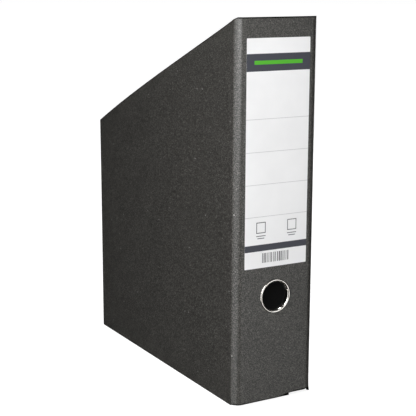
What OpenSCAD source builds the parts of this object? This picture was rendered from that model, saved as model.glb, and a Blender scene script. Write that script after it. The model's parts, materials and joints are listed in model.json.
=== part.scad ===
// Slant-top magazine file of paper-covered hard board, with a metal-ringed finger hole.
// The closed spine faces -Y and the low front wall faces +Y. +Z is up, in millimetres.
// The origin is the centre of the overall box, on the surface that the file stands on.

/* [Box] */
// Width across the spine, outside
box_w = 80; // [60:1:110]
// Depth from the outside of the spine to the outside of the front wall
box_d = 268; // [240:1:300]
// Height of the spine
box_h = 328.5; // [310:1:350]
// Height of the side panels at their front edge
side_front_h = 216.5; // [150:1:260]
// Height of the low front wall
front_wall_h = 86; // [50:1:130]
// Outside radius of the rounded corners beside the spine
corner_r = 7.5; // [4:0.5:10]
// Distance from the outside of the spine to the top of the slope
slope_setback = 2; // [0.5:0.5:3.5]

/* [Board and paper] */
// Thickness of the hard board
board_t = 2; // [1.5:0.1:2.5]
// Thickness of the cover paper
cover_t = 0.25; // [0.15:0.05:0.4]
// Thickness of the lining paper
lining_t = 0.2; // [0.1:0.05:0.3]
// Width of the cover paper's margin, turned over an edge onto the inside
turn_in_w = 16; // [8:1:25]
// Width of the front wall's glue laps on the insides of the side panels
lap_w = 20; // [12:1:40]

/* [Bowed side panels] */
// How far the middle of the slanted edge stands out past the straight line
belly = 3.6; // [0:0.1:6]
// How far the top front corner of a side panel stands out
flare = 0.3; // [0:0.1:4]

/* [Base flaps] */
// Reach of the outer flap across the base, from the left side
outer_flap_w = 57; // [30:1:58]
// How far the right side panel's fold hangs below the edge of the spine
fold_drop = 1.2; // [0.2:0.1:1.6]

/* [Finger ring] */
// Inside radius of the ring
ring_r = 12.5; // [9:0.5:13]
// Radius of the rolled rim's round section
rim_r = 1.25; // [0.8:0.1:1.6]
// Thickness of the ring's sheet metal
metal_t = 0.4; // [0.2:0.1:0.6]
// Width of the lip crimped over the washer
lip_w = 1.6; // [1:0.1:2.5]
// Height of the ring's centre above the base
ring_z = 93.5; // [70:0.5:100]
// Outside radius of the washer behind the lining
washer_r = 16.5; // [16:0.5:19]
// Thickness of the washer
washer_t = 0.5; // [0.3:0.1:0.8]

/* [Label] */
// Width of the spine label
label_w = 61.5; // [30:0.5:62]
// Height of the spine label
label_h = 192; // [150:1:200]
// Height of the label's lower edge above the base
label_z = 119.8; // [118:0.1:120]
// Thickness of the label
label_t = 0.12; // [0.08:0.01:0.2]

/* [Hidden] */

COVER = "#3f3e3b";
BOARD = "#6b675f";
LINING = "#26262a";
METAL = "#c9c7c2";
LABEL = "#f1f1f2";

// Facets of a round surface and of the rim's small section, steps round a bend of the
// cover paper, and steps along and up a bowed panel
ROUND = 96;
RIM_ROUND = 48;
BENDS = 10;
STEPS = 16;
RISES = 8;
eps = 0.01;

// Y of each wall. The ring's rim stands proud of the spine, so the box is centred with it.
y_spine = rim_r - (box_d + rim_r) / 2;
y_front = y_spine + box_d;
y_bend = y_spine + corner_r;
y_slope = y_spine + slope_setback;

// Insets from the outside: to the board, through the board, and through the lining
in_board = cover_t;
in_bare = cover_t + board_t;
in_lined = in_bare + lining_t;
in_turned = in_bare + cover_t;

y_front_bare = y_front - in_bare;
y_lap = y_front_bare - lap_w;
x_bare = box_w / 2 - in_bare;

// Z of each layer of the base, and of the three lower edges of the wrap
z_outer_flap = cover_t;
z_spine = z_outer_flap + board_t;
z_inner_flap = z_spine + cover_t;
z_floor = z_inner_flap + board_t;
z_right = z_spine - fold_drop;

// The hole through the spine clears the ring's barrel
hole_gap = 0.1;
hole_r = ring_r + metal_t + hole_gap;

// Shape of the bow: it grows along the panel, and with the cube of the height
bow_rise = 1.6;
bow_lift = 3;
bow_crest = bow_rise / (bow_rise + 1);
bow_unit = pow(bow_crest, bow_rise) * (1 - bow_crest);

// Height of the cut edge at depth y
function slope_z(y) =
    box_h - max(0, y - y_slope) * (box_h - side_front_h) / (y_front - y_slope);

// Distance that a side panel stands out at depth y and height z
function bow(y, z) =
    let (u = min(1, max(0, (y - y_bend) / (y_front - y_bend))))
    let (v = max(0, z) / slope_z(y))
    (belly * pow(u, bow_rise) * (1 - u) / bow_unit + flare * u) * pow(v, bow_lift);

// Depths from y0 to y1, evenly spaced
function stations(y0, y1, n) = [for (i = [0:n]) y0 + (y1 - y0) * i / n];

// Section of a bowed sheet at depth y: up its outer face and down its inner face
function section(y, x_in, x_out, z_lo, z_hi, n) = concat(
    [for (j = [0:n]) let (z = z_lo + (z_hi - z_lo) * j / n) [x_out + bow(y, z), y, z]],
    [for (j = [n:-1:0]) let (z = z_lo + (z_hi - z_lo) * j / n) [x_in + bow(y, z), y, z]]
);

// Point on the right side panel, x from the middle plane before the bow
function on_side(x, y, z) = [x + bow(y, z), y, z];

// Section of a margin turned over an edge of the right side panel. Each place is [y, z]:
// on the cut edge, under the paper there, and on the margin's own edge inside.
function turned_section(edge, under, inner) =
    let (x_out = x_bare + board_t, x_leg = x_bare - cover_t)
    [
        on_side(x_out, edge[0], edge[1]), on_side(x_leg, edge[0], edge[1]),
        on_side(x_leg, inner[0], inner[1]), on_side(x_bare, inner[0], inner[1]),
        on_side(x_bare, under[0], under[1]), on_side(x_out, under[0], under[1])
    ];

// A place [y, z] under the slope at depth y
function under(y, drop) = [y, slope_z(y) - drop];

// Section at the mitre where the slope's margin meets the front edge's margin
function mitre_section() = turned_section(
    under(y_front, 0), under(y_front - cover_t, cover_t), under(y_lap, turn_in_w)
);

// Section of the cover paper from its outer face at point p to its inner face at point q
function cover_section(p, q, z_lo) = concat(
    [for (j = [0:RISES]) let (z = z_lo + (slope_z(p[1]) - z_lo) * j / RISES)
        [p[0] + sign(p[0]) * bow(p[1], z), p[1], z]],
    [for (j = [RISES:-1:0]) let (z = z_lo + (slope_z(q[1]) - z_lo) * j / RISES)
        [q[0] + sign(q[0]) * bow(q[1], z), q[1], z]]
);

// Point of the corner's plan at an angle from straight out of the spine
function bend_point(side, angle, r) = [
    side * (box_w / 2 - corner_r + r * sin(angle)), y_bend - r * cos(angle)
];

// Closed solid through sheet sections that all have the same number of points
module loft(sections) {
    n = len(sections[0]);
    last = (len(sections) - 1) * n;
    skin = [
        for (i = [0:n:last - n]) for (k = [0:n - 1])
            let (a = i + k, b = i + (k + 1) % n)
            for (face = [[a, b, b + n], [a, b + n, a + n]]) face
    ];
    caps = [
        for (j = [0:n / 2 - 2])
            let (a = j, b = j + 1, c = n - 2 - j, d = n - 1 - j)
            for (face = [
                [a, c, b], [a, d, c],
                [last + a, last + b, last + c], [last + a, last + c, last + d]
            ]) face
    ];
    polyhedron(points = [for (s = sections) for (p = s) p], faces = concat(skin, caps));
}

// Sheet on the right side panel from y0 to y1, between two distances from the middle plane,
// from a level edge up to the slope lowered by drop
module side_sheet(x_in, x_out, y0, y1, z_lo, drop) {
    loft([
        for (y = stations(y0, y1, STEPS))
            section(y, x_in, x_out, z_lo, slope_z(y) - drop, RISES)
    ]);
}

module left() {
    mirror([1, 0, 0]) children();
}

// Plan of one rounded corner of the spine wall, between two insets from the outside
module corner_plan(inset_out, inset_in) {
    translate([box_w / 2 - corner_r, y_bend]) intersection() {
        difference() {
            circle(r = corner_r - inset_out, $fn = ROUND);
            circle(r = corner_r - inset_in, $fn = ROUND);
        }
        translate([0, -corner_r]) square(corner_r);
    }
}

// Plan of the spine wall's flat between its corners
module flat_plan(inset_out, inset_in) {
    flat_w = box_w - 2 * corner_r;
    translate([-flat_w / 2, y_spine + inset_out]) square([flat_w, inset_in - inset_out]);
}

// Everything below the cut edge at the spine end, lowered by drop
module under_slope(drop) {
    outline = [
        [y_spine - 1, 0], [y_bend, 0], [y_bend, slope_z(y_bend) - drop],
        [y_slope, box_h - drop], [y_spine - 1, box_h - drop]
    ];
    translate([-box_w, 0, 0]) rotate([90, 0, 90]) linear_extrude(2 * box_w) polygon(outline);
}

// Spine wall between two insets, from z_lo up to the lowered cut edge. Its right corner
// starts at z_corner.
module spine_wall(inset_out, inset_in, z_lo, z_corner, drop) {
    intersection() {
        union() {
            translate([0, 0, z_lo]) linear_extrude(box_h - z_lo) {
                left() corner_plan(inset_out, inset_in);
                flat_plan(inset_out, inset_in);
            }
            translate([0, 0, z_corner]) linear_extrude(box_h - z_corner)
                corner_plan(inset_out, inset_in);
        }
        under_slope(drop);
    }
}

// Cutter for the finger hole
module finger_hole() {
    translate([0, y_spine - 1, ring_z]) rotate([-90, 0, 0])
        cylinder(r = hole_r, h = corner_r, $fn = ROUND);
}

module spine_board() {
    color(BOARD) difference() {
        spine_wall(in_board, in_bare, z_spine, z_right, cover_t);
        finger_hole();
    }
}

// Right-hand side panel, down to z_lo
module side_board(z_lo) {
    color(BOARD) side_sheet(x_bare, x_bare + board_t, y_bend, y_front - cover_t, z_lo, cover_t);
}

module left_side_board() {
    left() side_board(z_outer_flap);
}

module right_side_board() {
    side_board(z_right);
}

module front_board() {
    color(BOARD) translate([-x_bare, y_front_bare, z_spine])
        cube([2 * x_bare, board_t, front_wall_h - cover_t - z_spine]);
}

// Glue lap of the front wall, on the inside of the right side panel
module front_lap() {
    color(BOARD) loft([
        for (y = stations(y_lap, y_front_bare, 2))
            section(y, x_bare - board_t, x_bare, z_floor, front_wall_h - cover_t, 2)
    ]);
}

module front_lap_left() {
    left() front_lap();
}

module front_lap_right() {
    front_lap();
}

// Plan of the outer base flap: its spine end follows the left rounded corner
module outer_flap_plan(inset, x_edge) {
    x_round = corner_r - box_w / 2;
    x_end = outer_flap_w - box_w / 2;
    translate([x_edge, y_bend]) square([x_end - x_edge, y_front - cover_t - y_bend]);
    translate([x_round, y_spine + inset]) square([x_end - x_round, corner_r - inset + eps]);
    translate([x_round, y_bend]) intersection() {
        circle(r = corner_r - inset, $fn = ROUND);
        translate([-corner_r, -corner_r]) square([corner_r + eps, corner_r + eps]);
    }
}

module base_flap_outer() {
    color(BOARD) translate([0, 0, z_outer_flap]) linear_extrude(board_t)
        outer_flap_plan(cover_t, -x_bare);
}

module base_cover_outer() {
    color(COVER) linear_extrude(cover_t) outer_flap_plan(0, -box_w / 2);
}

// Plan of what lies inside the walls, with round corners at the spine end
module inside_plan(inset, y_end) {
    r = corner_r - inset;
    w = box_w - 2 * inset;
    translate([-w / 2, y_bend]) square([w, y_end - y_bend]);
    translate([-w / 2 + r, y_spine + inset]) square([w - 2 * r, corner_r - inset + eps]);
    for (side = [-1, 1])
        translate([side * (w / 2 - r), y_bend]) circle(r = r, $fn = ROUND);
}

module base_flap_inner() {
    color(BOARD) translate([0, 0, z_inner_flap]) linear_extrude(board_t)
        inside_plan(in_bare, y_front_bare);
}

module base_cover_inner() {
    color(COVER) translate([0, 0, z_spine]) linear_extrude(cover_t)
        inside_plan(in_bare, y_front_bare);
}

module floor_lining() {
    color(LINING) translate([0, 0, z_floor]) linear_extrude(lining_t)
        inside_plan(in_lined, y_lap);
}

// One sheet round the left side, the spine and the right side. Its lower edge rises from
// the left side's fold to the edge of the spine, and drops again at the right side's fold.
module cover_sheet() {
    x_out = box_w / 2;
    x_in = x_out - cover_t;
    depths = stations(y_front, y_bend, STEPS);
    angles = stations(90, 0, BENDS);
    left_side = [for (y = depths) cover_section([-x_out, y], [-x_in, y], z_outer_flap)];
    left_bend = [
        for (i = [1:BENDS]) let (a = angles[i]) cover_section(
            bend_point(-1, a, corner_r), bend_point(-1, a, corner_r - cover_t), z_spine
        )
    ];
    right_bend = [
        for (i = [BENDS:-1:1]) let (a = angles[i]) cover_section(
            bend_point(1, a, corner_r), bend_point(1, a, corner_r - cover_t),
            i == BENDS ? z_spine : z_right
        )
    ];
    right_side = [for (i = [STEPS:-1:0]) cover_section(
        [x_out, depths[i]], [x_in, depths[i]], z_right
    )];
    color(COVER) difference() {
        loft(concat(left_side, left_bend, right_bend, right_side));
        finger_hole();
    }
}

module front_cover() {
    color(COVER) translate([cover_t - box_w / 2, y_front - cover_t, z_spine])
        cube([box_w - 2 * cover_t, cover_t, front_wall_h - z_spine]);
}

// Margin turned over the top of the spine wall and down its inside
module spine_top_turn_in() {
    z_leg = box_h - turn_in_w;
    color(COVER) {
        difference() {
            spine_wall(in_board, in_turned, z_leg, z_leg, 0);
            spine_wall(in_board - eps, in_bare, z_leg - eps, z_leg - eps, cover_t);
        }
    }
}

// Margin turned over the slanted edge of the right side panel, mitred at the front corner
module slope_turn_in() {
    color(COVER) loft(concat(
        [for (y = stations(y_bend, y_lap, STEPS))
            turned_section(under(y, 0), under(y, cover_t), under(y, turn_in_w))],
        [mitre_section()]
    ));
}

module left_slope_turn_in() {
    left() slope_turn_in();
}

module right_slope_turn_in() {
    slope_turn_in();
}

// Margin turned over the front edge of the right side panel, above the front wall
module front_edge_turn_in() {
    z_first = slope_z(y_lap) - 2 * turn_in_w;
    color(COVER) loft(concat(
        [mitre_section()],
        [for (z = stations(z_first, front_wall_h, RISES))
            turned_section([y_front, z], [y_front - cover_t, z], [y_lap, z])]
    ));
}

module left_front_turn_in() {
    left() front_edge_turn_in();
}

module right_front_turn_in() {
    front_edge_turn_in();
}

// Margin turned over the top of the front wall
module front_top_turn_in() {
    leg_w = 2 * (x_bare - board_t);
    color(COVER) {
        translate([-x_bare, y_front_bare - cover_t, front_wall_h - cover_t])
            cube([2 * x_bare, board_t + cover_t, cover_t]);
        translate([-leg_w / 2, y_front_bare - cover_t, front_wall_h - turn_in_w])
            cube([leg_w, cover_t, turn_in_w - cover_t / 2]);
    }
}

module spine_lining() {
    color(LINING) difference() {
        translate([0, 0, z_floor]) linear_extrude(box_h - turn_in_w - z_floor) {
            left() corner_plan(in_bare, in_lined);
            flat_plan(in_bare, in_lined);
            corner_plan(in_bare, in_lined);
        }
        finger_hole();
    }
}

module side_lining() {
    color(LINING)
        side_sheet(x_bare - lining_t, x_bare, y_bend, y_lap, z_floor, turn_in_w);
}

module left_lining() {
    left() side_lining();
}

module right_lining() {
    side_lining();
}

module front_lining() {
    w = 2 * (x_bare - board_t);
    color(LINING) translate([-w / 2, y_front_bare - lining_t, z_floor])
        cube([w, lining_t, front_wall_h - turn_in_w - z_floor]);
}

// Places a turned part in the finger hole: its own Z runs into the file
module in_hole() {
    translate([0, y_spine, ring_z]) rotate([-90, 0, 0]) children();
}

// Sheet-metal ring: a rolled rim on the spine, a barrel, and a lip crimped over the washer
module finger_ring() {
    barrel_l = in_lined + washer_t + metal_t;
    color(METAL) in_hole() {
        rotate_extrude($fn = ROUND) translate([ring_r + rim_r, 0]) intersection() {
            difference() {
                circle(r = rim_r, $fn = RIM_ROUND);
                circle(r = rim_r - metal_t, $fn = RIM_ROUND);
            }
            translate([-rim_r, -rim_r]) square([2 * rim_r, rim_r]);
        }
        rotate_extrude($fn = ROUND) translate([ring_r, -eps]) square([metal_t, barrel_l + eps]);
        rotate_extrude($fn = ROUND) translate([ring_r, barrel_l - metal_t])
            square([lip_w, metal_t]);
    }
}

module ring_washer() {
    color(METAL) in_hole() rotate_extrude($fn = ROUND) translate([hole_r, in_lined])
        square([washer_r - hole_r, washer_t]);
}

module spine_label() {
    color(LABEL) translate([-label_w / 2, y_spine - label_t, label_z])
        cube([label_w, label_t, label_h]);
}

spine_board();
left_side_board();
right_side_board();
front_board();
front_lap_left();
front_lap_right();
base_flap_outer();
base_flap_inner();
cover_sheet();
front_cover();
base_cover_outer();
base_cover_inner();
spine_top_turn_in();
left_slope_turn_in();
right_slope_turn_in();
left_front_turn_in();
right_front_turn_in();
front_top_turn_in();
spine_lining();
left_lining();
right_lining();
front_lining();
floor_lining();
finger_ring();
ring_washer();
spine_label();
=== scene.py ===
"""Looks for the magazine file: papers, board, label and ring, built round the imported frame."""

import json
import math
import random

import bmesh
import bpy
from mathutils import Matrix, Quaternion, Vector


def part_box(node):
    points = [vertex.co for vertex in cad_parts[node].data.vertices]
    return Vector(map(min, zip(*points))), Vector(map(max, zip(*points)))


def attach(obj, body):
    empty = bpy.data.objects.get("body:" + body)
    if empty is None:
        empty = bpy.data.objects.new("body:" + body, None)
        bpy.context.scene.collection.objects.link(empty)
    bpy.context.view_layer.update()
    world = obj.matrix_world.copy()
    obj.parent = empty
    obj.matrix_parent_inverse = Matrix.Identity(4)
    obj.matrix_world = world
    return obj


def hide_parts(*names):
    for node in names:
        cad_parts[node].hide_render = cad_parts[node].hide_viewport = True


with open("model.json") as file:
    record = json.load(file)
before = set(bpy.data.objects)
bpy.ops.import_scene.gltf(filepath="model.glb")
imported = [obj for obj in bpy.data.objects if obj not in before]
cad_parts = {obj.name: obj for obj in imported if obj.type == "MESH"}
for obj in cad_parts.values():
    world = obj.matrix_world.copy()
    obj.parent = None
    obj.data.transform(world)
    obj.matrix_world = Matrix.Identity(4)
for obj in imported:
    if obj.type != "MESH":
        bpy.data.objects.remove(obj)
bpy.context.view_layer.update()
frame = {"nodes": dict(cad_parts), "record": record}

random.seed(7)

MM = 0.001

# ---------------------------------------------------------------- sizes from the frame


def size(node):
    lo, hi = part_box(node)
    return hi - lo


COVER_T = size("front_cover").y
BOARD_T = size("front_board").y
LINING_T = size("front_lining").y
HALF_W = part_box("spine_board")[1].x + COVER_T
Y_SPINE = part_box("cover_sheet")[0].y
Y_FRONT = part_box("cover_sheet")[1].y
BOX_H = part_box("cover_sheet")[1].z
SIDE_FRONT_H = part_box("left_front_turn_in")[1].z
WALL_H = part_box("front_cover")[1].z
Y_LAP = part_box("left_front_turn_in")[0].y
Z_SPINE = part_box("front_cover")[0].z
Z_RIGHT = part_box("right_side_board")[0].z
Z_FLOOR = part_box("base_flap_inner")[1].z
FLAP_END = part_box("base_flap_outer")[1].x

# The same driving dimensions as in part.scad
CORNER_R = 7.5 * MM
SLOPE_SETBACK = 2 * MM
TURN_IN_W = 16 * MM
BELLY = 3.6 * MM
FLARE = 0.3 * MM
BOW_RISE = 1.6
BOW_LIFT = 3
BOW_CREST = BOW_RISE / (BOW_RISE + 1)
BOW_UNIT = BOW_CREST**BOW_RISE * (1 - BOW_CREST)

# Round the left corner of the spine the wrap has a crease, a nearly flat stretch over the
# gap between the boards, a softer crease and a faint one. The right corner is nearly an arc.
# Each stretch has its length and how far it turns, in degrees
LEFT_BEND = ((2.3 * MM, 34), (4.5 * MM, 14), (4.4 * MM, 37), (3.3 * MM, 5))
RIGHT_BEND = ((0.2 * MM, 0), (5.73 * MM, 45), (5.73 * MM, 45))
FOLD_BULGE = 1.4 * MM    # the right corner stands proud where its fold is thickest
FOLD_REACH = 3 * MM
LEFT_FOLD_W = 1.2 * MM   # how far in from the side the lower edge comes up to the spine's
RIGHT_FOLD_W = 3.5 * MM
PAPER_LOW = 0.7 * MM     # the spine's paper hangs over the outer flap's edge on the left,
PAPER_RISE = 2.9 * MM    # and rises clear of it towards the right
PAPER_RISE_W = 25 * MM   # over that much of the spine's right half
FLAP_TILT = 0.5 * MM     # the outer flap is that much thinner at its free end
TIP_DROP = 0.95 * MM     # the right corner's folded tip hangs lower than its edges
TIP_Y = 4 * MM
TIP_REACH = 2.5 * MM

Y_BEND = Y_SPINE + CORNER_R
Y_SLOPE = Y_SPINE + SLOPE_SETBACK
IN_BARE = COVER_T + BOARD_T
IN_TURNED = IN_BARE + COVER_T
EDGE_R = 0.7 * MM        # paper folded over the edge of a board
EDGE_REACH = 1.1 * MM    # how far the painted shade along an edge reaches
FLAP_BACK = EDGE_R + 0.2 * MM    # the outer flap stands back from the wrap's lower fold
LAP_OVER = 3 * MM        # the linings lap over the turned-in margins
EAR = 1.6 * MM           # the folded paper stands higher where the slope meets the spine
EAR_REACH = 4 * MM
LAP_STEP = 0.8 * LAP_OVER    # a lining has climbed onto the margin that far below its edge
END_GAP = 0.1 * MM       # the wrap's fold ends that far short of the board's inner face
GLUE_GAP = 0.05 * MM     # the base's paper stays that far below the top of its flap
FRONT_TUCK = 0.985       # the front paper's end under its board, as a share of its width
FLAP_BEVEL = 0.25 * MM
FACES_DOWN = -0.99       # a face looks down where its normal's z is below this
CUTTER_DEPTH = 20 * MM

# How many pieces each stretch is cut into
BEND_STEPS = 10          # each stretch of a corner's outline
QUARTER_STEPS = 6        # a quarter turn
MARGIN_FOLD_STEPS = 5    # a quarter turn of a margin's fold
MARGIN_STEPS = 8         # down a margin
SLOPE_STEPS = 60         # along the slope of a side panel
SIDE_STEPS = 56          # along a side panel
SPINE_STEPS = 26         # across the spine
WALL_STEPS = 72          # down the wrap
FRONT_STEPS = 24         # across the front wall and down it
HIDDEN_STEPS = 40        # along the sheets that are hidden or inside
RIM_STEPS = 32           # over the ring's rim


def slope_z(y):
    """Height of the cut edge at depth y."""
    slope = max(0.0, y - Y_SLOPE) * (BOX_H - SIDE_FRONT_H) / (Y_FRONT - Y_SLOPE)
    return min(BOX_H, BOX_H - slope + EAR * math.exp((Y_SPINE - y) / EAR_REACH))


def bow(y, z):
    """How far a side panel stands out from flat."""
    u = min(1.0, max(0.0, (y - Y_BEND) / (Y_FRONT - Y_BEND)))
    v = max(0.0, z) / slope_z(y)
    belly = BELLY * u**BOW_RISE * (1 - u) / BOW_UNIT
    return (belly + FLARE * u) * v**BOW_LIFT


# ---------------------------------------------------------------- stations round the walls


def side_at(side, y):
    """Wall at depth y on one side panel: a point at inset n from the outside and height z."""
    return lambda n, z: Vector((side * (HALF_W - n + bow(y, z)), y, z))


def bend_points(stretches):
    """Outline round a corner of the spine, from the side panel to the spine: how far each
    point lies inside the side's plane and behind the spine's, and its normal's angle."""
    x, y, turned = 0.0, 0.0, 0.0
    points = [(x, y, turned)]
    for length, turn in stretches:
        for _ in range(BEND_STEPS):
            middle = math.radians(turned + turn / BEND_STEPS / 2)
            x += length / BEND_STEPS * math.sin(middle)
            y += length / BEND_STEPS * math.cos(middle)
            turned += turn / BEND_STEPS
            points.append((x, y, turned))
    return [(x, points[-1][1] - y, 90 - turned) for x, y, turned in points]


def bend_at(side, point):
    """Wall at one point of a corner's outline."""
    x_in, y_in, degrees = point
    a = math.radians(degrees)

    def at(n, z):
        bulge = FOLD_BULGE * math.exp(-z / FOLD_REACH) if side > 0 else 0.0
        x = side * (HALF_W - x_in + bulge * math.sin(a) - n * math.sin(a))
        return Vector((x, Y_SPINE + y_in + n * math.cos(a), z))

    return at


def flat_at(x):
    return lambda n, z: Vector((x, Y_SPINE + n, z))


def steps(a, b, n):
    return [a + (b - a) * i / n for i in range(n + 1)]


def smooth(t):
    """0 up to t = 0 and 1 from t = 1, with an even curve between."""
    t = min(1.0, max(0.0, t))
    return t * t * (3 - 2 * t)


def eased(a, b, n):
    """Values from a to b that crowd together towards both ends."""
    return [a + (b - a) * (1 - math.cos(math.pi * i / n)) / 2 for i in range(n + 1)]


# ---------------------------------------------------------------- mesh helpers


def finish_mesh(obj, sharp=38):
    """Smooth shading that keeps real corners sharp, weighted so that flats stay flat."""
    mesh = obj.data
    mesh.polygons.foreach_set("use_smooth", [True] * len(mesh.polygons))
    mesh.set_sharp_from_angle(angle=math.radians(sharp))
    weighted = obj.modifiers.new("weighted", "WEIGHTED_NORMAL")
    weighted.keep_sharp = True
    return obj


def settle(obj):
    """Applies the modifiers that obj has so far."""
    bpy.context.view_layer.update()
    graph = bpy.context.evaluated_depsgraph_get()
    made = bpy.data.meshes.new_from_object(obj.evaluated_get(graph))
    obj.modifiers.clear()
    old = obj.data
    obj.data = made
    made.name = obj.name
    bpy.data.meshes.remove(old)
    return obj


def new_object(name, mesh):
    obj = bpy.data.objects.new(name, mesh)
    bpy.context.scene.collection.objects.link(obj)
    return obj


def from_bmesh(name, bm):
    mesh = bpy.data.meshes.new(name)
    bm.to_mesh(mesh)
    bm.free()
    return new_object(name, mesh)


def sheet(name, rows, facing, thickness):
    """Paper through rows of points. The rows are its seen face, which faces away from the
    middle of the box where facing is 1 and towards it where facing is -1."""
    n = len(rows[0])
    points = [p for row in rows for p in row]
    faces = [
        (i * n + k, i * n + k + 1, (i + 1) * n + k + 1, (i + 1) * n + k)
        for i in range(len(rows) - 1)
        for k in range(n - 1)
    ]
    i = len(rows) // 2
    a, b, c = rows[i][0], rows[i][1], rows[i - 1][0]
    normal = (b - a).cross(c - a)
    outward = Vector((a.x, a.y, 0)) * facing
    if normal.dot(outward) > 0:
        faces = [tuple(reversed(f)) for f in faces]
    mesh = bpy.data.meshes.new(name)
    mesh.from_pydata([tuple(p) for p in points], [], faces)
    mesh.update()
    obj = new_object(name, mesh)
    solid = obj.modifiers.new("thickness", "SOLIDIFY")
    solid.thickness = thickness
    solid.offset = -1
    solid.use_even_offset = True
    return settle(obj)


def extruded(name, outline, z_lo, z_hi):
    """Closed plate with an outline in plan, from z_lo to z_hi."""
    bm = bmesh.new()
    ring = [bm.verts.new((x, y, z_lo)) for x, y in outline]
    face = bm.faces.new(ring)
    grown = bmesh.ops.extrude_face_region(bm, geom=[face])
    moved = [v for v in grown["geom"] if isinstance(v, bmesh.types.BMVert)]
    bmesh.ops.translate(bm, verts=moved, vec=(0, 0, z_hi - z_lo))
    bmesh.ops.recalc_face_normals(bm, faces=bm.faces)
    return from_bmesh(name, bm)


def boxes(name, corners):
    """One mesh of separate closed boxes, each from its low corner to its high corner."""
    bm = bmesh.new()
    for lo, hi in corners:
        made = bmesh.ops.create_cube(bm, size=1)["verts"]
        lo, hi = Vector(lo), Vector(hi)
        for v in made:
            v.co = Vector([(lo[i] + hi[i]) / 2 + v.co[i] * (hi[i] - lo[i]) for i in range(3)])
    return from_bmesh(name, bm)


def lathe(name, outline, centre, segments, wobble=0.0):
    """Closed ring round the finger hole's axis. The outline is (radius, depth into the file).
    wobble is how far the rim strays from round for each millimetre that it stands proud."""
    bm = bmesh.new()
    rings = []
    for i in range(segments):
        a = 2 * math.pi * i / segments
        waves = math.sin(3 * a + 0.4) + 0.6 * math.sin(7 * a + 2) + 0.4 * math.sin(13 * a)
        dent = wobble * waves
        ring = []
        for r, d in outline:
            reach = r + dent * max(0.0, -d) / MM
            x, z = reach * math.cos(a), reach * math.sin(a)
            ring.append(bm.verts.new((centre.x + x, centre.y + d, centre.z + z)))
        rings.append(ring)
    m = len(outline)
    for i in range(segments):
        here, there = rings[i], rings[(i + 1) % segments]
        for k in range(m):
            bm.faces.new((here[k], here[(k + 1) % m], there[(k + 1) % m], there[k]))
    bmesh.ops.recalc_face_normals(bm, faces=bm.faces)
    return from_bmesh(name, bm)


def cut_hole(obj, radius):
    """Cuts the finger hole through a sheet."""
    bm = bmesh.new()
    bmesh.ops.create_cone(
        bm, cap_ends=True, segments=96, radius1=radius, radius2=radius, depth=CUTTER_DEPTH
    )
    cutter = from_bmesh("hole_cutter", bm)
    cutter.rotation_euler = (math.radians(90), 0, 0)
    cutter.location = (RING.x, Y_SPINE, RING.z)
    cut = obj.modifiers.new("hole", "BOOLEAN")
    cut.operation = "DIFFERENCE"
    cut.solver = "EXACT"
    cut.object = cutter
    settle(obj)
    bpy.data.objects.remove(cutter)


def bevel(obj, radius):
    """Rounds the sharp edges of a plate."""
    rounding = obj.modifiers.new("rounding", "BEVEL")
    rounding.width = radius
    rounding.segments = 4
    rounding.limit_method = "ANGLE"
    rounding.angle_limit = math.radians(40)
    settle(obj)


def place(obj, slot, material, *replaced):
    """Gives a finished piece its material and body, and hides the CAD parts that it replaces.
    Its slot is not used.
    """
    obj.data.materials.clear()
    obj.data.materials.append(material)
    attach(obj, "root")
    if replaced:
        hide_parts(*replaced)
    return obj


# ---------------------------------------------------------------- materials


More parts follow.
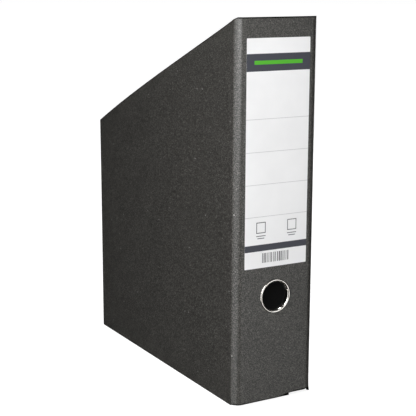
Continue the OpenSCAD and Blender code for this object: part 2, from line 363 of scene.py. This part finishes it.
class Nodes:
    """Short names for the nodes that the materials share."""

    def __init__(self, name):
        self.material = bpy.data.materials.new(name)
        self.material.use_nodes = True
        self.tree = self.material.node_tree
        self.shader = self.tree.nodes["Principled BSDF"]
        coordinates = self.tree.nodes.new("ShaderNodeTexCoord")
        self.place = coordinates.outputs["Object"]

    def link(self, out, into):
        self.tree.links.new(out, into)

    def stretched(self, scale):
        node = self.tree.nodes.new("ShaderNodeMapping")
        node.inputs["Scale"].default_value = scale
        self.link(self.place, node.inputs["Vector"])
        return node.outputs["Vector"]

    def noise(self, cell, detail=2.0, rough=0.5, vector=None):
        node = self.tree.nodes.new("ShaderNodeTexNoise")
        node.inputs["Scale"].default_value = 1 / cell
        node.inputs["Detail"].default_value = detail
        node.inputs["Roughness"].default_value = rough
        self.link(vector or self.place, node.inputs["Vector"])
        return node.outputs["Fac"]

    def cells(self, cell, vector=None):
        node = self.tree.nodes.new("ShaderNodeTexVoronoi")
        node.inputs["Scale"].default_value = 1 / cell
        self.link(vector or self.place, node.inputs["Vector"])
        return node.outputs["Distance"], node.outputs["Color"]

    def between(self, value, lo, hi, to_lo=0.0, to_hi=1.0):
        """value from lo to hi, mapped onto to_lo to to_hi and held at the ends."""
        node = self.tree.nodes.new("ShaderNodeMapRange")
        node.inputs["From Min"].default_value = lo
        node.inputs["From Max"].default_value = hi
        node.inputs["To Min"].default_value = to_lo
        node.inputs["To Max"].default_value = to_hi
        self.link(value, node.inputs["Value"])
        return node.outputs["Result"]

    def math(self, operation, a, b):
        node = self.tree.nodes.new("ShaderNodeMath")
        node.operation = operation
        for socket, value in zip(node.inputs, (a, b)):
            if isinstance(value, (int, float)):
                socket.default_value = value
            else:
                self.link(value, socket)
        return node.outputs["Value"]

    def sum(self, *values):
        total = values[0]
        for value in values[1:]:
            total = self.math("ADD", total, value)
        return total

    def mix(self, fac, a, b):
        node = self.tree.nodes.new("ShaderNodeMix")
        node.data_type = "RGBA"
        for name, value in (("Factor_Float", fac), ("A_Color", a), ("B_Color", b)):
            socket = next(s for s in node.inputs if s.identifier == name)
            if isinstance(value, (int, float)):
                socket.default_value = value
            elif isinstance(value, tuple):
                socket.default_value = (*value, 1)
            else:
                self.link(value, socket)
        return next(s for s in node.outputs if s.identifier == "Result_Color")

    def attribute(self, name):
        node = self.tree.nodes.new("ShaderNodeAttribute")
        node.attribute_name = name
        return node.outputs["Fac"]

    def bump(self, height, depth, strength):
        node = self.tree.nodes.new("ShaderNodeBump")
        node.inputs["Strength"].default_value = strength
        node.inputs["Distance"].default_value = depth
        self.link(height, node.inputs["Height"])
        self.link(node.outputs["Normal"], self.shader.inputs["Normal"])

    def set(self, **values):
        """Sets or links the shader's sockets, each named with _ for a space."""
        for name, value in values.items():
            socket = self.shader.inputs[name.replace("_", " ")]
            if isinstance(value, tuple):
                socket.default_value = (*value, 1)
            elif isinstance(value, (int, float)):
                socket.default_value = value
            else:
                self.link(value, socket)


def cover_paper():
    """Dark mottled fibre paper: clouds, a fine grain, pale flecks and dark fibres. Along its
    edges it is dull, and painted shade darkens it nearly to black."""
    n = Nodes("cover_paper")
    clouds = n.noise(24 * MM, 3, 0.6)
    drawn = n.stretched((1, 0.9, 1))    # the grain runs along the side panels
    grain = n.noise(0.62 * MM, 2, 0.6, drawn)
    tooth = n.noise(0.35 * MM, 2, 0.5)
    speck = n.cells(0.68 * MM, drawn)[1]
    fibre = n.between(n.noise(1.0, 1, 0.5, n.stretched((260, 900, 2400))), 0.66, 0.72)
    tone = n.sum(
        n.between(grain, 0.3, 0.7, -1.2, 1.2), n.between(speck, 0, 1, -1, 1),
        n.between(clouds, 0.3, 0.7, -0.08, 0.08), n.math("MULTIPLY", fibre, -0.15),
    )
    light = n.math("POWER", n.between(tone, -1, 1), 2.2)
    base = n.mix(light, (0.022, 0.0214, 0.0198), (0.118, 0.1146, 0.1045))
    # Two kinds of pale fleck: spacing, radius, strength and colour
    for cell, radius, share, colour in (
        (6 * MM, 0.6 * MM, 0.8, (0.17, 0.168, 0.16)),
        (13 * MM, 0.75 * MM, 0.9, (0.32, 0.316, 0.304)),
    ):
        fleck = n.between(n.cells(cell)[0], 0.5 * radius / cell, radius / cell, share, 0)
        base = n.mix(fleck, base, colour)
    # Painted shade: near the edges the colour darkens nearly to black, and the same share makes
    # the paper rougher and less glossy there.
    painted_edge_shade = n.math("MULTIPLY", n.attribute("edge"), n.between(grain, 0.25, 0.5, 0.85, 1))
    base = n.mix(painted_edge_shade, base, (0.0015, 0.0015, 0.0015))
    n.bump(n.sum(n.math("MULTIPLY", tooth, 0.6), grain), 0.05 * MM, 0.1)
    rough = n.between(grain, 0.3, 0.7, 0.37, 0.39)
    n.set(Base_Color=base, Roughness=n.sum(rough, n.math("MULTIPLY", painted_edge_shade, 0.4)))
    n.set(Specular_IOR_Level=n.between(painted_edge_shade, 0, 0.9, 0.5, 0.02))
    return n.material


def lining_paper():
    """Smooth near-black paper with a faint tooth."""
    n = Nodes("lining_paper")
    grain = n.noise(0.7 * MM, 3, 0.6)
    clouds = n.noise(30 * MM, 2, 0.5)
    tone = n.math("ADD", n.math("MULTIPLY", grain, 0.6), n.math("MULTIPLY", clouds, 0.4))
    base = n.mix(n.between(tone, 0.35, 0.65), (0.022, 0.022, 0.023), (0.048, 0.047, 0.046))
    n.bump(grain, 0.02 * MM, 0.4)
    n.set(Base_Color=base, Roughness=n.between(clouds, 0.3, 0.7, 0.55, 0.68))
    n.set(Specular_IOR_Level=0.35)
    return n.material


def board_material():
    """Dark board: layered along its cut edges, with loose pale fibres."""
    n = Nodes("board")
    pulp = n.noise(0.8 * MM, 4, 0.7)
    layers = n.noise(1.0, 2, 0.6, n.stretched((90, 90, 4200)))
    tone = n.math("ADD", n.math("MULTIPLY", pulp, 0.6), n.math("MULTIPLY", layers, 0.4))
    base = n.mix(n.between(tone, 0.3, 0.7), (0.022, 0.021, 0.019), (0.062, 0.059, 0.054))
    n.bump(tone, 0.08 * MM, 0.7)
    n.set(Base_Color=base, Roughness=n.between(pulp, 0.3, 0.7, 0.78, 0.92))
    n.set(Specular_IOR_Level=0.3)
    return n.material


def nickel():
    """Bright nickel plate, a little smeared and pitted."""
    n = Nodes("nickel")
    smear = n.noise(4 * MM, 3, 0.6)
    pits = n.noise(0.5 * MM, 2, 0.5)
    tint = n.mix(n.between(smear, 0.35, 0.65), (0.70, 0.67, 0.62), (0.82, 0.80, 0.76))
    n.bump(n.math("ADD", n.math("MULTIPLY", pits, 0.3), smear), 0.004 * MM, 0.35)
    n.set(Base_Color=tint, Metallic=1.0)
    n.set(Roughness=n.between(smear, 0.3, 0.7, 0.10, 0.19))
    return n.material


def printed(name, colour, rough):
    """Ink or bare stock on the label: a coated paper with a faint tooth and even tone."""
    n = Nodes(name)
    tooth = n.noise(0.4 * MM, 2, 0.5)
    clouds = n.noise(18 * MM, 2, 0.5)
    low = tuple(c * 0.965 for c in colour)
    n.bump(tooth, 0.008 * MM, 0.25)
    n.set(Base_Color=n.mix(n.between(clouds, 0.3, 0.7), low, colour))
    n.set(Roughness=n.between(tooth, 0.3, 0.7, rough - 0.03, rough + 0.03))
    n.set(Specular_IOR_Level=0.4)
    return n.material


def floor_material():
    """Pale floor with a glow that grows with distance, so that it meets the white backdrop."""
    n = Nodes("floor")
    soft = n.noise(0.6, 2, 0.5)
    distance = n.tree.nodes.new("ShaderNodeVectorMath")
    distance.operation = "LENGTH"
    n.link(n.place, distance.inputs[0])
    glow = n.between(distance.outputs["Value"], FLOOR_NEAR, FLOOR_FAR, FLOOR_GLOW, 1.0)
    n.set(Base_Color=n.mix(n.between(soft, 0.3, 0.7), (0.34, 0.34, 0.34), (0.36, 0.36, 0.36)))
    n.set(Roughness=0.9, Specular_IOR_Level=0.1, Emission_Color=(1, 1, 1))
    n.set(Emission_Strength=glow)
    return n.material


def backdrop_material():
    """White glow, nearly even."""
    n = Nodes("backdrop")
    tint = n.mix(n.between(n.noise(8, 1, 0.5), 0.3, 0.7), (0.99, 0.99, 0.99), (1, 1, 1))
    n.set(Base_Color=(0, 0, 0), Specular_IOR_Level=0.0, Emission_Color=tint)
    n.set(Emission_Strength=1.0)
    return n.material


# ---------------------------------------------------------------- papers


def shade_edges(obj, distance):
    """Stores how near each point is to an edge, where the cover paper's material paints shade: 1
    at the edge and 0 from about 1.5 mm away. distance gives a point's distance from the edge."""
    layer = obj.data.attributes.new("edge", "FLOAT", "POINT")
    shares = [
        1 - smooth((distance(v.co) - EDGE_R / 2) / EDGE_REACH) for v in obj.data.vertices
    ]
    layer.data.foreach_set("value", shares)


def from_wall_edge(p):
    """Distance from the side panels' and spine's free edges."""
    return min(abs(slope_z(p.y) - p.z), abs(Y_FRONT - p.y), abs(p.z - lower_edge(p)))


def from_front_edge(p):
    """Distance from the front wall's top and lower edges and its two folds."""
    return min(abs(WALL_H - p.z), abs(p.z - Z_SPINE), abs(HALF_W - abs(p.x)))


def from_base_edge(p):
    """Distance from the outline of the outer flap, seen in plan."""
    here = Vector((p.x, p.y))
    corners = [Vector(c) for c in flap_outline(FLAP_BACK)]
    distances = []
    for a, b in zip(corners, corners[1:] + corners[:1]):
        share = (here - a).dot(b - a) / (b - a).length_squared
        distances.append((here - a.lerp(b, min(1.0, max(0.0, share)))).length)
    return min(distances)


def lower_edge(point):
    """Height of the wrap's lower edge: it rises from the left fold towards the right of the
    spine and drops again at the right side's fold."""
    inside = HALF_W - abs(point.x)
    spine = PAPER_LOW + PAPER_RISE * smooth(point.x / PAPER_RISE_W)
    if point.x < 0:
        return spine * smooth(inside / LEFT_FOLD_W)
    tip = TIP_DROP * math.exp(-(((point.y - Y_SPINE - TIP_Y) / TIP_REACH) ** 2))
    return Z_RIGHT + (spine - Z_RIGHT) * smooth(inside / RIGHT_FOLD_W) - tip


def covered(name, rows, distance, node):
    """Cover paper through rows of points, in place of one CAD part."""
    obj = sheet(name, rows, 1, COVER_T)
    shade_edges(obj, distance)
    return place(finish_mesh(obj), "cover_paper", COVER, node)


def side_stations(side):
    """Along one side panel, from its front edge to the spine's corner."""
    return [side_at(side, y) for y in eased(Y_FRONT - EDGE_R, Y_BEND, SIDE_STEPS)]


def spine_stations():
    """Round the spine, from one side panel's end to the other's."""
    left, right = bend_points(LEFT_BEND), bend_points(RIGHT_BEND)
    flat = steps(left[-1][0] - HALF_W, HALF_W - right[-1][0], SPINE_STEPS)
    return (
        [bend_at(-1, p) for p in left]
        + [flat_at(x) for x in flat[1:-1]]
        + [bend_at(1, p) for p in reversed(right)]
    )


def wrap_stations():
    """Round the whole wrap, from the left panel's front edge to the right one's."""
    return side_stations(-1)[:-1] + spine_stations() + list(reversed(side_stations(1)))[1:]


def cover_sheet():
    """The outer sheet, from just under the cut edge down to its fold under the board."""
    rows = []
    for at in wrap_stations():
        here = at(0, 0)
        top = slope_z(here.y) - EDGE_R
        low = lower_edge(here)
        row = [at(0, z) for z in eased(top, low + EDGE_R, WALL_STEPS)]
        for degrees in steps(0, 90, QUARTER_STEPS)[1:]:
            a = math.radians(degrees)
            row.append(at(EDGE_R * (1 - math.cos(a)), low + EDGE_R * (1 - math.sin(a))))
        over_flap = here.x < FLAP_END and here.y < Y_BEND
        row.append(at(FLAP_BACK if over_flap else IN_BARE - END_GAP, low))
        rows.append(row)
    obj = sheet("cover_wrap", rows, 1, COVER_T)
    cut_hole(obj, HOLE_R)
    shade_edges(obj, from_wall_edge)
    return place(finish_mesh(obj), "cover_paper", COVER, "cover_sheet")


def spine_board():
    """Board behind the spine's paper, creased with it."""
    gap = 0.02 * MM
    rows = []
    for at in spine_stations():
        top = slope_z(at(0, 0).y) - COVER_T - gap
        low = max(Z_SPINE, lower_edge(at(0, 0))) + COVER_T + gap
        rows.append([at(COVER_T + gap, z) for z in steps(low, top, HIDDEN_STEPS)])
    obj = sheet("spine_board_creased", rows, 1, BOARD_T - 2 * gap)
    cut_hole(obj, HOLE_R)
    return place(finish_mesh(obj), "board", BOARD, "spine_board")


def margin_profile():
    """Section of paper folded over a board's edge, as (inset, drop below the edge)."""
    r = EDGE_R
    corner = [math.radians(d) for d in steps(0, 90, MARGIN_FOLD_STEPS)]
    over = [(r * (1 - math.cos(a)), r * (1 - math.sin(a))) for a in corner]
    back = [(IN_TURNED - r * (1 - math.sin(a)), r * (1 - math.cos(a))) for a in corner]
    inside = [(IN_TURNED, d) for d in steps(r, TURN_IN_W, MARGIN_STEPS)[1:]]
    return over + back + inside


def behind_front(n, drop):
    """How far behind the front edge a point of a margin's section lies. On the inside the
    section is stretched to reach Y_LAP."""
    return drop * (Y_FRONT - Y_LAP) / TURN_IN_W if n == IN_TURNED else drop


def top_margin(name, stations, node):
    """Margin over the sloping top edge, through stations along it."""
    rows = []
    for at in stations:
        rows.append([at(n, slope_z(at(n, 0).y) - drop) for n, drop in margin_profile()])
    return covered(name, rows, from_wall_edge, node)


def front_margin(name, side, node):
    """Margin over a side panel's front edge, between the front wall and the slope."""
    rows = []
    for t in steps(0, 1, HIDDEN_STEPS):
        row = []
        for n, drop in margin_profile():
            y = Y_FRONT - behind_front(n, drop)
            top = slope_z(y) - drop
            row.append(side_at(side, y)(n, WALL_H + (top - WALL_H) * t))
        rows.append(row)
    return covered(name, rows, from_wall_edge, node)


def slope_margin(name, side, node):
    """Margin over a side panel's slanted edge, mitred into the front edge's margin."""
    rows = []
    for y in eased(Y_BEND, Y_FRONT, SLOPE_STEPS):
        row = []
        for n, drop in margin_profile():
            end = Y_FRONT - behind_front(n, drop)
            y_here = Y_BEND + (y - Y_BEND) * (end - Y_BEND) / (Y_FRONT - Y_BEND)
            row.append(side_at(side, y_here)(n, slope_z(y_here) - drop))
        rows.append(row)
    return covered(name, rows, from_wall_edge, node)


def front_paper():
    """Front wall's paper, folded round onto both side panels' edges."""
    rows = []
    corner = [math.radians(d) for d in steps(0, 90, QUARTER_STEPS)]
    fold = [(EDGE_R * (1 - math.cos(a)), EDGE_R * (1 - math.sin(a))) for a in corner]
    plan = [(-HALF_W + across, Y_FRONT - back) for across, back in fold]
    plan += [(x, Y_FRONT) for x in eased(-HALF_W + EDGE_R, HALF_W - EDGE_R, FRONT_STEPS)[1:-1]]
    plan += [(-x, y) for x, y in reversed(plan[: len(corner)])]
    for x, y in plan:
        row = []
        for z in eased(WALL_H - EDGE_R, EDGE_R + Z_SPINE, FRONT_STEPS):
            side = -1 if x < 0 else 1
            lean = side * bow(y, z) * min(1.0, abs(x) / HALF_W)
            row.append(Vector((x + lean, y, z)))
        for back, up in fold[1:]:
            row.append(Vector((x, y - back, Z_SPINE + up)))
        row.append(Vector((x * FRONT_TUCK, y - IN_BARE, Z_SPINE)))
        rows.append(row)
    return covered("front_paper", rows, from_front_edge, "front_cover")


def front_top_margin():
    """Margin over the front wall's top edge and down its inside."""
    rows = []
    x_end = HALF_W - IN_BARE
    for x in steps(-x_end, x_end, FRONT_STEPS):
        rows.append([Vector((x, Y_FRONT - n, WALL_H - drop)) for n, drop in margin_profile()])
    return covered("front_top_margin", rows, from_front_edge, "front_top_turn_in")


def flap_outline(inset):
    """Plan of the outer base flap, which follows the crease at the spine's left corner."""
    corner = [bend_at(-1, p)(inset, 0) for p in bend_points(LEFT_BEND)]
    left = corner[0].x
    outline = [(left, Y_FRONT - inset)] + [(p.x, p.y) for p in corner]
    return outline + [(FLAP_END, Y_SPINE + inset), (FLAP_END, Y_FRONT - inset)]


def base_flap():
    """Outer base flap: a board folded in from the left side panel."""
    lo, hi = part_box("base_flap_outer")
    obj = extruded("base_flap_cut", flap_outline(FLAP_BACK + COVER_T), lo.z + FLAP_TILT, hi.z)
    bevel(obj, FLAP_BEVEL)
    return place(finish_mesh(obj), "board", BOARD, "base_flap_outer")


def base_paper():
    """Paper under the outer flap, drawn round its three free edges."""
    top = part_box("base_flap_outer")[1].z
    obj = extruded("base_paper", flap_outline(FLAP_BACK), 0, top - GLUE_GAP)
    bevel(obj, EDGE_R)
    for v in obj.data.vertices:
        across = (v.co.x + HALF_W) / (FLAP_END + HALF_W)
        v.co.z += FLAP_TILT * across * (1 - v.co.z / top)
    bm = bmesh.new()
    bm.from_mesh(obj.data)
    # A ring of faces round the underside, so that the painted edge shade fades there too.
    under = [f for f in bm.faces if f.normal.z < FACES_DOWN]
    bmesh.ops.inset_region(bm, faces=under, thickness=EDGE_REACH)
    bm.to_mesh(obj.data)
    bm.free()
    shade_edges(obj, from_base_edge)
    return place(finish_mesh(obj), "cover_paper", COVER, "base_cover_outer")


LINING_IN = IN_BARE + LINING_T
LINING_OVER = IN_TURNED + LINING_T


def side_lining(name, side, node):
    """Lining of one side panel, from the floor to its lap over the margins."""
    rows = []
    for y in eased(Y_BEND, Y_LAP + LAP_OVER, HIDDEN_STEPS):
        at = side_at(side, y)
        n = LINING_OVER if y > Y_LAP else LINING_IN
        top = slope_z(y) - TURN_IN_W + LAP_OVER
        row = [at(n, z) for z in eased(Z_FLOOR, top - LAP_OVER, HIDDEN_STEPS)]
        row += [at(LINING_OVER, top - LAP_STEP), at(LINING_OVER, top)]
        rows.append(row)
    obj = sheet(name, rows, -1, LINING_T)
    return place(finish_mesh(obj), "lining_paper", LINING, node)


def spine_lining():
    """Lining of the spine, with the finger hole."""
    rows = []
    for at in spine_stations():
        top = slope_z(at(LINING_IN, 0).y) - TURN_IN_W + LAP_OVER
        row = [at(LINING_IN, z) for z in eased(Z_FLOOR, top - LAP_OVER, HIDDEN_STEPS)]
        row += [at(LINING_OVER, top - LAP_STEP), at(LINING_OVER, top)]
        rows.append(row)
    obj = sheet("spine_lining_paper", rows, -1, LINING_T)
    cut_hole(obj, HOLE_R)
    return place(finish_mesh(obj), "lining_paper", LINING, "spine_lining")


# ---------------------------------------------------------------- label and ring

RING_LO, RING_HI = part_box("finger_ring")
RING = (RING_LO + RING_HI) / 2
RIM_OUT = (RING_HI.x - RING_LO.x) / 2
RIM_R = Y_SPINE - RING_LO.y
RING_R = RIM_OUT - 2 * RIM_R
METAL_T = 0.4 * MM
LIP_W = 1.6 * MM         # the lip crimped over the washer
RIM_SKEW = 0.75          # below 1 the rim's crest lies nearer its outer edge
RIM_FLAT = 0.6           # below 1 its crest is flatter than a half round
DENT = 0.02 * MM
HOLE_PLAY = 0.1 * MM
HOLE_R = RING_R + METAL_T + HOLE_PLAY


def rolled(metal):
    """Half turn of the rim from its outside to the bore, with its crest well out."""
    section = []
    for degrees in eased(0, 180, RIM_STEPS):
        a = math.radians(degrees)
        out = ((1 + math.cos(a)) / 2) ** RIM_SKEW
        r = RING_R + metal + 2 * (RIM_R - metal) * out
        section.append((r, -(RIM_R - metal) * max(0.0, math.sin(a)) ** RIM_FLAT))
    return section


def ring_outline():
    """Rolled rim, barrel and crimped lip of the ring, as (radius, depth into the file)."""
    end = RING_HI.y - Y_SPINE
    soft = 0.1 * MM
    foot = RING_R + LIP_W
    lip = [
        (RING_R, end - 3 * soft), (RING_R + soft, end - soft), (RING_R + 3 * soft, end),
        (foot - soft, end), (foot, end - soft), (foot, end - METAL_T + soft),
        (foot - soft, end - METAL_T), (RING_R + METAL_T, end - METAL_T),
    ]
    return rolled(0) + lip + list(reversed(rolled(METAL_T)))


def finger_ring():
    """Rolled ring in the finger hole."""
    centre = Vector((RING.x, Y_SPINE, RING.z))
    obj = lathe("finger_ring_rolled", ring_outline(), centre, segments=160, wobble=DENT)
    return place(finish_mesh(obj, sharp=50), "ring_metal", METAL, "finger_ring")


def washer():
    """Flat washer that the ring's barrel is crimped over."""
    lo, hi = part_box("ring_washer")
    outer = (hi.x - lo.x) / 2
    front, back = lo.y - Y_SPINE, hi.y - Y_SPINE
    soft = 0.12 * MM
    outline = [
        (HOLE_R, front), (outer - soft, front), (outer, front + soft),
        (outer, back - soft), (outer - soft, back), (HOLE_R, back),
    ]
    obj = lathe("washer_turned", outline, Vector((RING.x, Y_SPINE, RING.z)), segments=128)
    return place(finish_mesh(obj, sharp=50), "ring_metal", METAL, "ring_washer")


LABEL_LO, LABEL_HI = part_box("spine_label")
LABEL_W = LABEL_HI.x - LABEL_LO.x
LABEL_H = LABEL_HI.z - LABEL_LO.z
INK_T = 0.02 * MM
LABEL_R = 0.6 * MM       # corners

# The printed fields: where they start and end, down from the label's head
HEAD_BAND = (12.6 * MM, 26.9 * MM)
STRIPE = (18.2 * MM, 21.4 * MM)
RULES = 4
RULE_FIRST = 66 * MM
RULE_PITCH = 27.3 * MM
RULE_T = 0.45 * MM
MARK_BOX = (152.5 * MM, 162 * MM)
MARK_BARS = (164 * MM, 166 * MM)
MARK_LINE = 0.7 * MM
FOOT_BAND = (171.8 * MM, 177.4 * MM)
CODE = (179.4 * MM, 187.8 * MM)
# and across it, as shares of its width
STRIPE_X = (0.12, 0.88)
MARK_X = ((0.18, 0.33), (0.68, 0.83))
MARK_BAR_IN = 0.02       # the second bar below a box is that much shorter at both ends
CODE_X = (0.28, 0.71)


def label():
    """White stock with rounded corners."""
    r = LABEL_R
    outline = []
    for cx, cz, start in (
        (LABEL_HI.x - r, LABEL_HI.z - r, 0), (LABEL_LO.x + r, LABEL_HI.z - r, 90),
        (LABEL_LO.x + r, LABEL_LO.z + r, 180), (LABEL_HI.x - r, LABEL_LO.z + r, 270),
    ):
        for d in steps(start, start + 90, QUARTER_STEPS):
            a = math.radians(d)
            outline.append((cx + r * math.cos(a), cz + r * math.sin(a)))
    obj = extruded("label_stock", outline, 0, LABEL_HI.y - LABEL_LO.y)
    for v in obj.data.vertices:
        x, z, d = v.co
        v.co = Vector((x, LABEL_HI.y - d, z))
    return place(finish_mesh(obj), "label_paper", STOCK, "spine_label")


def ink(x0, x1, top, bottom, layer=1):
    """Corners of a box of ink on the label: x0 and x1 are shares of its width, and top and
    bottom are measured down from its head. A second layer lies on top of the first."""
    y = LABEL_LO.y
    return (
        (LABEL_LO.x + x0 * LABEL_W, y - layer * INK_T, LABEL_HI.z - bottom),
        (LABEL_LO.x + x1 * LABEL_W, y + INK_T, LABEL_HI.z - top),
    )


def bands():
    """The dark band near the head of the label and the narrow one near its foot."""
    obj = boxes("label_bands", [ink(0, 1, *HEAD_BAND), ink(0, 1, *FOOT_BAND)])
    return place(finish_mesh(obj), "label_paper", SLATE)


def rules():
    """Thin ruled lines to write on."""
    middles = [RULE_FIRST + i * RULE_PITCH for i in range(RULES)]
    obj = boxes("label_rules", [ink(0, 1, m - RULE_T / 2, m + RULE_T / 2) for m in middles])
    return place(finish_mesh(obj), "label_paper", RULE)


def accent():
    """A plain green stripe in the head band."""
    obj = boxes("label_stripe", [ink(*STRIPE_X, *STRIPE, layer=2)])
    return place(finish_mesh(obj), "label_paper", GREEN)


def frame_mark(x0, x1, top, bottom):
    """Outline of a plain box, as four bars."""
    side = MARK_LINE / LABEL_W
    return [
        ink(x0, x1, top, top + MARK_LINE), ink(x0, x1, bottom - MARK_LINE, bottom),
        ink(x0, x0 + side, top + MARK_LINE, bottom - MARK_LINE),
        ink(x1 - side, x1, top + MARK_LINE, bottom - MARK_LINE),
    ]


def small_marks():
    """Plain stand-ins for small print: two boxes with bars below, and a block of stripes."""
    parts = []
    for x0, x1 in MARK_X:
        parts += frame_mark(x0, x1, *MARK_BOX)
        for i, top in enumerate(MARK_BARS):
            inset = MARK_BAR_IN * i
            parts.append(ink(x0 + inset, x1 - inset, top, top + MARK_LINE))
    x, end = CODE_X
    while x < end:
        bar = random.uniform(0.008, 0.02)
        parts.append(ink(x, x + bar, *CODE))
        x += bar + random.uniform(0.01, 0.022)
    obj = boxes("label_small_marks", parts)
    return place(finish_mesh(obj), "label_paper", MARK)


# ---------------------------------------------------------------- stage


STAGE_R = 12.0           # metres
FLOOR_NEAR, FLOOR_FAR = 0.35, 2.2    # metres from the middle, where the floor's glow grows
FLOOR_GLOW = 0.84        # up to the nearer of them
FLOOR_DROP = 0.05 * MM   # keeps the floor clear of the file's underside


def hide_from_object(obj):
    """The stage is seen by the camera and takes shadows, and neither lights the file nor
    shows in it."""
    obj.visible_diffuse = False
    obj.visible_glossy = False
    obj.visible_transmission = False


def studio():
    """Round pale floor under a white dome."""
    bm = bmesh.new()
    bmesh.ops.create_circle(bm, cap_ends=True, segments=96, radius=STAGE_R)
    floor = from_bmesh("studio_floor", bm)
    floor.location.z = -FLOOR_DROP
    floor.data.materials.append(floor_material())
    floor.visible_shadow = False
    hide_from_object(floor)

    bm = bmesh.new()
    bmesh.ops.create_uvsphere(bm, u_segments=48, v_segments=24, radius=STAGE_R)
    dome = from_bmesh("studio_dome", bm)
    dome.data.materials.append(backdrop_material())
    dome.visible_shadow = False
    hide_from_object(dome)


def softbox(name, degrees, elevation, distance, width, height, power):
    """Area light aimed at the middle of the file. degrees is measured from straight out of
    the spine, towards the left side, and elevation upwards."""
    a, e = math.radians(degrees), math.radians(elevation)
    back = Vector((-math.sin(a) * math.cos(e), -math.cos(a) * math.cos(e), math.sin(e)))
    data = bpy.data.lights.new(name, "AREA")
    data.shape = "RECTANGLE"
    data.size = width
    data.size_y = height
    data.energy = power
    obj = bpy.data.objects.new(name, data)
    obj.location = LIGHT_AIM + back * distance
    obj.rotation_mode = "QUATERNION"
    obj.rotation_quaternion = (-back).to_track_quat("-Z", "Y")
    bpy.context.scene.collection.objects.link(obj)


AMBIENT = 0.02
LIGHT_AIM = Vector((0, 0, 170 * MM))
# Direction in degrees (from straight out of the spine towards its left side, and up),
# distance, width and height in metres, and watts. The low boxes stand partly below the
# floor, which casts no shadow.
SOFTBOXES = {
    "key": (41, 20, 0.78, 0.5, 0.5, 6.0),
    "low_left": (60, -13, 0.85, 0.45, 0.6, 2.1),
    "front_right": (-19, -7, 1.5, 0.8, 1.2, 4.3),
    "right": (-124, 10, 1.5, 0.7, 1.1, 8.0),
    "back": (180, 80, 1.6, 0.5, 0.5, 26.0),
}


def lights():
    """The softboxes and a faint even light from all round."""
    for name, setting in SOFTBOXES.items():
        softbox(name, *setting)
    world = bpy.data.worlds.new("studio")
    world.use_nodes = True
    background = world.node_tree.nodes["Background"]
    background.inputs["Color"].default_value = (1, 1, 1, 1)
    background.inputs["Strength"].default_value = AMBIENT
    bpy.context.scene.world = world


CAMERA_AIM = Vector((-66 * MM, Y_SPINE, 176.5 * MM))
CAMERA_DISTANCE = 0.928
CAMERA_YAW = 29.56       # degrees, from straight at the spine towards its left side
CAMERA_PITCH = 11.76     # degrees, looking down
CAMERA_ROLL = 0.22
CAMERA_LENS = 99.1       # mm
SENSOR_W = 36            # mm


def camera():
    a, e = math.radians(CAMERA_YAW), math.radians(CAMERA_PITCH)
    forward = Vector((math.sin(a) * math.cos(e), math.cos(a) * math.cos(e), -math.sin(e)))
    data = bpy.data.cameras.new("camera")
    data.sensor_width = SENSOR_W
    data.lens = CAMERA_LENS
    obj = bpy.data.objects.new("camera", data)
    obj.location = CAMERA_AIM - forward * CAMERA_DISTANCE
    obj.rotation_mode = "QUATERNION"
    roll = Quaternion((0, 0, 1), math.radians(CAMERA_ROLL))
    obj.rotation_quaternion = forward.to_track_quat("-Z", "Y") @ roll
    bpy.context.scene.collection.objects.link(obj)
    bpy.context.scene.camera = obj


# ---------------------------------------------------------------- the file

camera()

COVER = cover_paper()
LINING = lining_paper()
BOARD = board_material()
METAL = nickel()
STOCK = printed("label_stock", (0.85, 0.85, 0.855), 0.5)
SLATE = printed("label_slate", (0.047, 0.050, 0.064), 0.42)
RULE = printed("label_rule", (0.56, 0.56, 0.57), 0.5)
MARK = printed("label_mark", (0.12, 0.12, 0.125), 0.5)
GREEN = printed("label_green", (0.075, 0.42, 0.02), 0.42)

MATERIAL_OF = {"board": BOARD, "cover_paper": COVER, "lining_paper": LINING,
               "ring_metal": METAL, "label_paper": STOCK}
for part in frame["record"]["subparts"]:
    kept = frame["nodes"][part["node"]]
    kept.data.materials.clear()
    kept.data.materials.append(MATERIAL_OF[part["material_slot"]])

cover_sheet()
top_margin("spine_top_margin", spine_stations(), "spine_top_turn_in")
for word, side in (("left", -1), ("right", 1)):
    slope_margin(f"{word}_slope_margin", side, f"{word}_slope_turn_in")
    front_margin(f"{word}_front_margin", side, f"{word}_front_turn_in")
    side_lining(f"{word}_lining_paper", side, f"{word}_lining")
front_paper()
front_top_margin()
base_flap()
base_paper()
spine_board()
spine_lining()
finger_ring()
washer()
label()
bands()
rules()
accent()
small_marks()
studio()
lights()
bpy.context.scene.view_settings.view_transform = "Standard"
